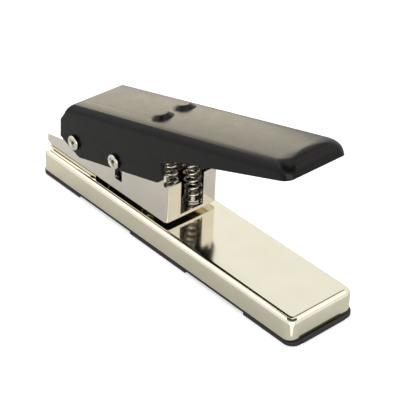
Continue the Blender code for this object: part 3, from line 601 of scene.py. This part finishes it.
press_low, press_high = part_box("press_frame")
press_half = press_high.y
press_sheet = 0.0015
press_bend = 0.0018
press_floor = press_low.z
press_floor_top = press_floor + press_sheet
tail_length = 0.0120
tail_height = 0.0051
shoulder_run = 0.0070
shoulder_height = 0.0180
foot_chamfer = 0.0022
flange_height = 0.0184
flange_opening_half = 0.0066
flange_relief = 0.0022
press_edge = 0.0012
press_shoulder = 0.0024
press_break = 0.00025
post_hole = 0.0016
slot_low_z = 0.02266
slot_corner = 0.0010
slot_front_play = 0.0004
through = 0.03


def press_plan(inset, rear):
    """Top view of the channel, round at its two front bends."""
    half = press_half - inset
    front = press_high.x - inset
    bend = press_bend - inset
    plan = [(rear, -half), (front, -half), (front, half), (rear, half)]
    return rounded_corners(plan, [0, bend, bend, 0], 12)


press_side = rounded_corners(
    [
        (press_low.x + foot_chamfer, press_floor),
        (press_high.x + cut_over, press_floor),
        (press_high.x + cut_over, press_floor + flange_height),
        (press_high.x - flange_relief, press_floor + flange_height),
        (press_high.x - flange_relief, press_high.z),
        (press_low.x + tail_length + shoulder_run, press_floor + shoulder_height),
        (press_low.x + tail_length, press_floor + tail_height + foot_chamfer),
        (press_low.x, press_floor + tail_height),
        (press_low.x, press_floor + foot_chamfer / 2),
    ],
    [0, 0, 0, 0, press_edge, press_shoulder, press_shoulder, press_edge, 0],
    8,
)
press_blank = upright(
    "press_frame_plated",
    press_plan(0, press_low.x - cut_over),
    press_floor - cut_over,
    press_high.z + cut_over,
)
press = piece("press_frame_plated", press_blank, frame_nickel)
worked(press, "INTERSECT", across("press_side", press_side, -through, through))
channel_high = press_high.z + 2 * cut_over
worked(press, "DIFFERENCE", upright(
    "press_channel", press_plan(press_sheet, press_low.x - 2 * cut_over), press_floor_top, channel_high
))
worked(press, "DIFFERENCE", block(
    "flange_opening",
    (press_high.x - press_bend - cut_over, -flange_opening_half, press_floor_top),
    (press_high.x + cut_over, flange_opening_half, channel_high),
))
sleeve_low, sleeve_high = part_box("pivot_sleeve")
pivot = (sleeve_low + sleeve_high) / 2
sleeve_radius = (sleeve_high.z - sleeve_low.z) / 2
pivot_hole = round_outline(pivot.x, pivot.z, sleeve_radius + fit_gap)
worked(press, "DIFFERENCE", across("pivot_holes", pivot_hole, -through, through))
pin_low, pin_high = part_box("drive_pin")
pin_middle = (pin_low + pin_high) / 2
pin_play = (pin_high.x - pin_low.x) / 2 + fit_gap
slot_rear = pin_middle.x - pin_play
slot_front = pin_middle.x + slot_front_play + pin_play
slot_bottom = slot_low_z - pin_play
slot_top = pin_middle.z + pin_play
drive_slot = rounded_corners(
    [(slot_rear, slot_bottom), (slot_front, slot_bottom), (slot_front, slot_top), (slot_rear, slot_top)],
    [slot_corner] * 4,
    6,
)
worked(press, "DIFFERENCE", across("drive_slots", drive_slot, -through, through))
cut_low = press_floor - cut_over
cut_high = press_floor_top + cut_over
worked(press, "DIFFERENCE", upright("guide_hole", pick_shape(fit_gap), cut_low, cut_high))
for number in range(1, 5):
    drilled(press, "frame_rivet_%d" % number, rivet_hole, cut_low, cut_high, 24)
for side_name in ("left", "right"):
    drilled(press, "spring_post_" + side_name, post_hole, cut_low, cut_high, 24)
eased(press, press_break)
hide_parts("press_frame")
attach(press, "base")


# Lever
# Folded from steel sheet and stoved black: a broad flat top with round edges, deep
# side skirts at the rear that clasp the frame, and a shallow handle in front.
def stoved_black(name):
    """Smooth satin paint, with a faint grey bloom and duller patches from handling."""
    material, tree, surface = surface_material(name)
    surface.inputs["IOR"].default_value = 1.29
    coloured(tree, surface, grain(tree, 60, 4), (0.004, 0.004, 0.0042), (0.006, 0.006, 0.0062))
    roughened(tree, surface, grain(tree, 200, 3), 0.27, 0.30)
    return material


lever_paint = stoved_black("lever_paint")

lever_tilt = math.radians(14.9)
lever_half = 0.0166
lever_sheet = 0.0015
lever_top = 0.0192
lever_front = 0.1440
lever_rear = 0.0110
lever_edge = 0.0049
lever_crown = 0.1200
lever_nose = 0.0080
lever_corner = 0.0052
skirt_drop = 0.0073
skirt_front = 0.0630
handle_rear_depth = 0.0146
handle_front_depth = 0.0075
drive_reach = 0.0293
drive_drop = 0.0033
spring_gap_y = 0.0062
button_along = 0.0556
button_radius = 0.0058
button_crown = 0.0022
button_height = 0.0018
cup_radius = 0.0038
cup_roof = 0.0002
pivot_bore = 0.0016
drive_bore = 0.0013
skirt_corner = 0.0050
skirt_notch = 0.0030
skirt_lip = 0.0010
back_round = 0.0012
back_top_round = 0.0120
back_setback = 0.0045
lever_break = 0.00025


def spun(name, profile, steps=64):
    """Solid of revolution about Z; its first and last points lie on the axis."""
    work = bmesh.new()
    bottom = work.verts.new((0, 0, profile[0][1]))
    top = work.verts.new((0, 0, profile[-1][1]))
    rings = []
    for radius, height in profile[1:-1]:
        rings.append([work.verts.new((x, y, height)) for x, y in round_outline(0, 0, radius, steps)])
    banded(work, rings)
    for index in range(steps):
        ahead = (index + 1) % steps
        work.faces.new((bottom, rings[0][ahead], rings[0][index]))
        work.faces.new((top, rings[-1][index], rings[-1][ahead]))
    return finished(work, name)


lever_points = [
    (lever_rear * 0.11, -skirt_drop, skirt_notch),
    (skirt_front - skirt_lip, -skirt_drop, skirt_corner),
    (skirt_front, lever_top - handle_rear_depth, skirt_notch),
    (lever_front, lever_top - handle_front_depth, back_round),
    (lever_front, lever_top, 0),
    (back_setback, lever_top, back_top_round),
    (-lever_rear * 0.055, lever_top * 0.90, back_top_round),
    (-lever_rear * 0.40, lever_top * 0.685, back_round),
    (-lever_rear * 0.75, lever_top * 0.515, back_round),
    (-lever_rear, lever_top * 0.05, back_round),
]
lever_outline = rounded_corners([p[:2] for p in lever_points], [p[2] for p in lever_points], 8)
crown_z = lever_top - lever_crown
edge_y = lever_half - lever_edge
crown_angle = math.asin(edge_y / (lever_crown - lever_edge))
edge_z = crown_z + (lever_crown - lever_edge) * math.cos(crown_angle)


def lever_form(name, inset, rear, low, steps):
    """Drawn form of the lever's top: low crown across, round edges, rounder over the nose."""
    edge = lever_edge - inset
    crown = lever_crown - inset
    nose = lever_nose - inset
    nose_z = lever_top - lever_nose
    corner = lever_corner - inset
    levels = {low}
    for step in range(steps + 1):
        levels.add(nose_z + nose * math.sin((math.pi / 2 - crown_angle) * step / steps))
        levels.add(edge_z + edge * math.sin((math.pi / 2 - crown_angle) * step / steps))
    for step in range(1, steps):
        levels.add(crown_z + crown * math.cos(crown_angle * step / steps))
    rings = []
    for level in sorted(levels):
        edge_rise = max(level - edge_z, 0)
        nose_rise = max(level - nose_z, 0)
        if edge_rise > edge * math.cos(crown_angle):
            half = math.sqrt(crown ** 2 - (level - crown_z) ** 2)
        else:
            half = edge_y + math.sqrt(edge ** 2 - edge_rise ** 2)
        front = lever_front - lever_nose + math.sqrt(nose ** 2 - nose_rise ** 2)
        round_off = min(corner, half / 2)
        outline = rounded_corners(
            [(rear, -half), (front, -half), (front, half), (rear, half)], [0, round_off, round_off, 0], 14
        )
        rings.append([(x, y, level) for x, y in outline])
    return lofted(name, rings)


blank_rear = -lever_rear - 4 * cut_over
blank_low = -skirt_drop - cut_over
lever = piece("lever_painted", lever_form("lever_painted", 0, blank_rear, blank_low, 12), lever_paint)
worked(lever, "INTERSECT", across("lever_side", lever_outline, -through, through))


def leant_with_crown(mesh, along, aside):
    """Set an upright form square to the lever's crown, at a distance from its middle line."""
    tilt = math.asin(aside / lever_crown)
    place = (along, -crown_z * math.sin(tilt), crown_z * (1 - math.cos(tilt)))
    mesh.transform(Matrix.Translation(place) @ Matrix.Rotation(-tilt, 4, "X"))
    return mesh


def spring_button():
    """Round button with a soft foot, pressed up out of the lever's top."""
    top = lever_top + button_height
    rise = button_height + button_radius ** 2 / (2 * lever_crown)
    profile = [(0, lever_top - lever_sheet / 2), (button_radius, lever_top - lever_sheet / 2)]
    for step in range(17):
        share = step / 16
        profile.append((
            button_radius + (button_crown - button_radius) * share,
            top - rise + rise * share * share * (3 - 2 * share),
        ))
    profile.append((0, top))
    return spun("spring_button", profile, 48)


for side in (-1, 1):
    worked(lever, "UNION", leant_with_crown(spring_button(), button_along, side * spring_gap_y))
worked(lever, "DIFFERENCE", lever_form(
    "lever_hollow", lever_sheet, blank_rear - cut_over, blank_low - cut_over, 8
))
cup_low = lever_top - lever_sheet - cut_over
for side in (-1, 1):
    cup = upright("button_cup", round_outline(0, 0, cup_radius, 32), cup_low, lever_top - cup_roof)
    worked(lever, "DIFFERENCE", leant_with_crown(cup, button_along, side * spring_gap_y))
for along, up, radius in ((0, 0, pivot_bore), (drive_reach, -drive_drop, drive_bore)):
    bore = round_outline(along, up, radius, 24)
    worked(lever, "DIFFERENCE", across("lever_bore", bore, -through, through))
lever.data.transform(Matrix.Translation((pivot.x, 0, pivot.z)) @ Matrix.Rotation(-lever_tilt, 4, "Y"))
eased(lever, lever_break)
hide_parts("lever")
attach(lever, "lever_arm")


# Pan-head screws
# Four plated cross-recess screws, a pair on each cross pin, with low domed heads
# that sit on the outside of the lever's skirts.
def zinc_steel(name):
    """Turned steel under a thin bright plate, a little uneven."""
    return plated_nickel(name, (0.80, 0.78, 0.70), (0.72, 0.70, 0.62), 0.10, 0.20, 0.10)


def painted_recess_shade(material, face_y, depth):
    """Painted shade in the recess and round the head's seat: the plate darkens below the level of the
    heads' faces.
    """
    tree = material.node_tree
    surface = tree.nodes["Principled BSDF"]
    clean = surface.inputs["Base Color"].links[0].from_socket
    place = node(tree, "ShaderNodeTexCoord")
    parts = node(tree, "ShaderNodeSeparateXYZ", Vector=place.outputs["Object"])
    out_from_middle = node(tree, "ShaderNodeMath", operation="ABSOLUTE")
    link(tree, parts.outputs["Y"], out_from_middle.inputs[0])
    clear = node(tree, "ShaderNodeMapRange", Value=out_from_middle.outputs[0])
    clear.inputs["From Min"].default_value = face_y - depth
    clear.inputs["From Max"].default_value = face_y - depth * 0.6
    recess_shade_mix = node(tree, "ShaderNodeMix", data_type="RGBA", Factor=clear.outputs["Result"])
    # Painted shade: a dark brassy tone in the recess and round the head's seat
    recess_shade_mix.inputs[6].default_value = (0.10, 0.085, 0.05, 1)
    link(tree, clean, recess_shade_mix.inputs[7])
    link(tree, recess_shade_mix.outputs[2], surface.inputs["Base Color"])


head_radius = 0.0035
head_height = 0.0015
head_crown = 0.0007
recess_half = 0.0022
recess_thin = 0.00075
recess_floor = 0.0002
recess_shadow = 0.0008
recess_over = 0.0004
recess_turn = 0.5
screw_break = 0.00008
shank_radii = {"pivot_screw": 0.0013, "drive_screw": 0.0010}
screw_steel = zinc_steel("bright_steel")
# Painted shade in the screw heads' recesses and round their seats
painted_recess_shade(screw_steel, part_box("pivot_screw_right")[1].y, recess_shadow)


def pan_head(name, shank_radius, shank_length):
    """Screw along Z with its head's seat at the origin."""
    profile = [(0, -shank_length), (shank_radius, -shank_length), (shank_radius, 0), (head_radius, 0)]
    for step in range(10):
        angle = math.pi / 2 * step / 10
        profile.append((
            head_radius * (1 - 0.45 * (1 - math.cos(angle))),
            head_height - head_crown + head_crown * math.sin(angle),
        ))
    profile.append((0, head_height))
    screw = piece(name, spun(name, profile, 64), screw_steel)
    mouth = head_height + recess_over
    for half_x, half_y in ((recess_half, recess_thin), (recess_thin, recess_half)):
        outline = [(-half_x, -half_y), (half_x, -half_y), (half_x, half_y), (-half_x, half_y)]
        deep = [(x * 0.55, y * 0.7, recess_floor) for x, y in outline]
        wide = [(x * 1.05, y * 1.05, mouth) for x, y in outline]
        worked(screw, "DIFFERENCE", lofted("recess", [deep, wide]))
    return screw


for stem, shank_radius in shank_radii.items():
    for side_name, side in (("left", -1), ("right", 1)):
        node_name = "%s_%s" % (stem, side_name)
        low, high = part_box(node_name)
        seat = (high.y - head_height) if side > 0 else (low.y + head_height)
        screw = pan_head(node_name + "_plated", shank_radius, high.y - low.y - head_height)
        screw.data.transform(
            Matrix.Translation(((low.x + high.x) / 2, seat, (low.z + high.z) / 2))
            @ Matrix.Rotation(-lever_tilt, 4, "Y")
            @ Matrix.Rotation(-side * math.pi / 2, 4, "X")
            @ Matrix.Rotation(recess_turn, 4, "Z")
        )
        eased(screw, screw_break)
        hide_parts(node_name)
        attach(screw, "lever_arm")


# Return springs
# A pair of compression springs in bright wire, standing on posts in the frame's
# floor and leaning back to meet the buttons under the lever.
def drawn_wire(name):
    """Drawn spring wire: bright, with fine lines round it and darker oil film in places."""
    material, tree, surface = surface_material(name)
    surface.inputs["Metallic"].default_value = 1.0
    cloud = grain(tree, 500, 3)
    coloured(tree, surface, cloud, (0.66, 0.63, 0.55), (0.48, 0.46, 0.40))
    roughened(tree, surface, cloud, 0.10, 0.22)
    lines = grain(tree, 3000, 2)
    raised(tree, surface, lines.outputs["Fac"], 0.00002, 0.15)
    return material


spring_wire = drawn_wire("spring_wire")
wire_radius = 0.00065
coil_radius = 0.00335
active_turns = 10
end_turns = 1
end_pitch = 0.0019
points_per_turn = 28
wire_sides = 12
spring_lean = 0.0066


def coil_points(foot, head):
    """Centre line of the wire: end turns lie close, the turns between are open."""
    rise = (head - foot).length
    total = active_turns + 2 * end_turns
    end_rise = end_pitch * end_turns
    lean = math.atan2(foot.x - head.x, head.z - foot.z)
    points = []
    for index in range(total * points_per_turn + 1):
        turns = index / points_per_turn
        if turns < end_turns:
            height = end_pitch * turns
        elif turns <= total - end_turns:
            height = end_rise + (rise - 2 * end_rise) * (turns - end_turns) / active_turns
        else:
            height = rise - end_pitch * (total - turns)
        share = height / rise
        centre = foot.lerp(head, share)
        centre.x += rise * share * (1 - share) * (lean * (1 - share) - (lever_tilt - lean) * share)
        tilt = lever_tilt * share * share * (3 - 2 * share)
        angle = 2 * math.pi * turns
        out_x = coil_radius * math.cos(angle)
        points.append(Vector((
            centre.x + out_x * math.cos(tilt),
            coil_radius * math.sin(angle),
            centre.z + out_x * math.sin(tilt),
        )))
    return points


def swept(name, points, radius, sides):
    """Round wire along points, with flat ends."""
    rings = []
    side_way = Vector((0, 0, 1))
    for index, point in enumerate(points):
        ahead = points[min(index + 1, len(points) - 1)] - points[max(index - 1, 0)]
        ahead.normalize()
        side_way = (side_way - ahead * side_way.dot(ahead)).normalized()
        other = ahead.cross(side_way)
        rings.append([
            point + (side_way * math.cos(a) + other * math.sin(a)) * radius
            for a in (2 * math.pi * k / sides for k in range(sides))
        ])
    return lofted(name, rings, 60)


for side_name, side in (("left", -1), ("right", 1)):
    node_name = "return_spring_" + side_name
    low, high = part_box(node_name)
    post_low, post_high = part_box("spring_post_" + side_name)
    foot_x = (post_low.x + post_high.x) / 2
    post_y = (post_low.y + post_high.y) / 2
    foot = Vector((foot_x, 0, low.z + wire_radius))
    # The last turn ends just under the hollow of the lever's crowned top
    outer_y = post_y * side + coil_radius + wire_radius
    seat = crown_z + math.sqrt((lever_crown - lever_sheet) ** 2 - outer_y ** 2)
    under = seat - fit_gap - wire_radius
    head_x = foot_x - spring_lean
    head_z = pivot.z + (head_x - pivot.x) * math.tan(lever_tilt) + under / math.cos(lever_tilt)
    coil = coil_points(foot, Vector((head_x, 0, head_z)))
    wire_points = [Vector((p.x, p.y * side + post_y, p.z)) for p in coil]
    wire = swept(node_name + "_wire", wire_points, wire_radius, wire_sides)
    spring = piece(node_name + "_wire", wire, spring_wire)
    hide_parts(node_name)
    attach(spring, "base")
    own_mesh(spring)


# Inner working pieces
# The hardened die, its blade and holder, the tubes and pins and the small turned
# pieces keep their machined form, with ground, plated or turned finishes.
def ground_steel(name):
    """Hardened steel, surface ground: fine straight lines and a slight tint from the heat."""
    material, tree, surface = surface_material(name)
    surface.inputs["Metallic"].default_value = 1.0
    coloured(tree, surface, grain(tree, 150, 3), (0.44, 0.44, 0.45), (0.36, 0.35, 0.35))
    lines = grain(tree, 1600, 2, (0.03, 1, 1))
    roughened(tree, surface, lines, 0.24, 0.36)
    raised(tree, surface, lines.outputs["Fac"], 0.00002, 0.3)
    return material


tool_steel = ground_steel("tool_steel_ground")
turned_steel = zinc_steel("turned_steel")
for names, material in (
    (("die_plate", "punch_holder", "pick_punch"), tool_steel),
    (("throat_spacer",), frame_nickel),
    (
        (
            "die_screw_1", "die_screw_2", "die_screw_3", "die_screw_4",
            "frame_rivet_1", "frame_rivet_2", "frame_rivet_3", "frame_rivet_4",
            "pivot_spacer_tube", "pivot_sleeve", "drive_pin", "spring_post_left", "spring_post_right",
            "punch_screw_rear", "punch_screw_front",
        ),
        turned_steel,
    ),
):
    for name in names:
        made = nodes[name]
        made.data.materials.clear()
        made.data.materials.append(material)
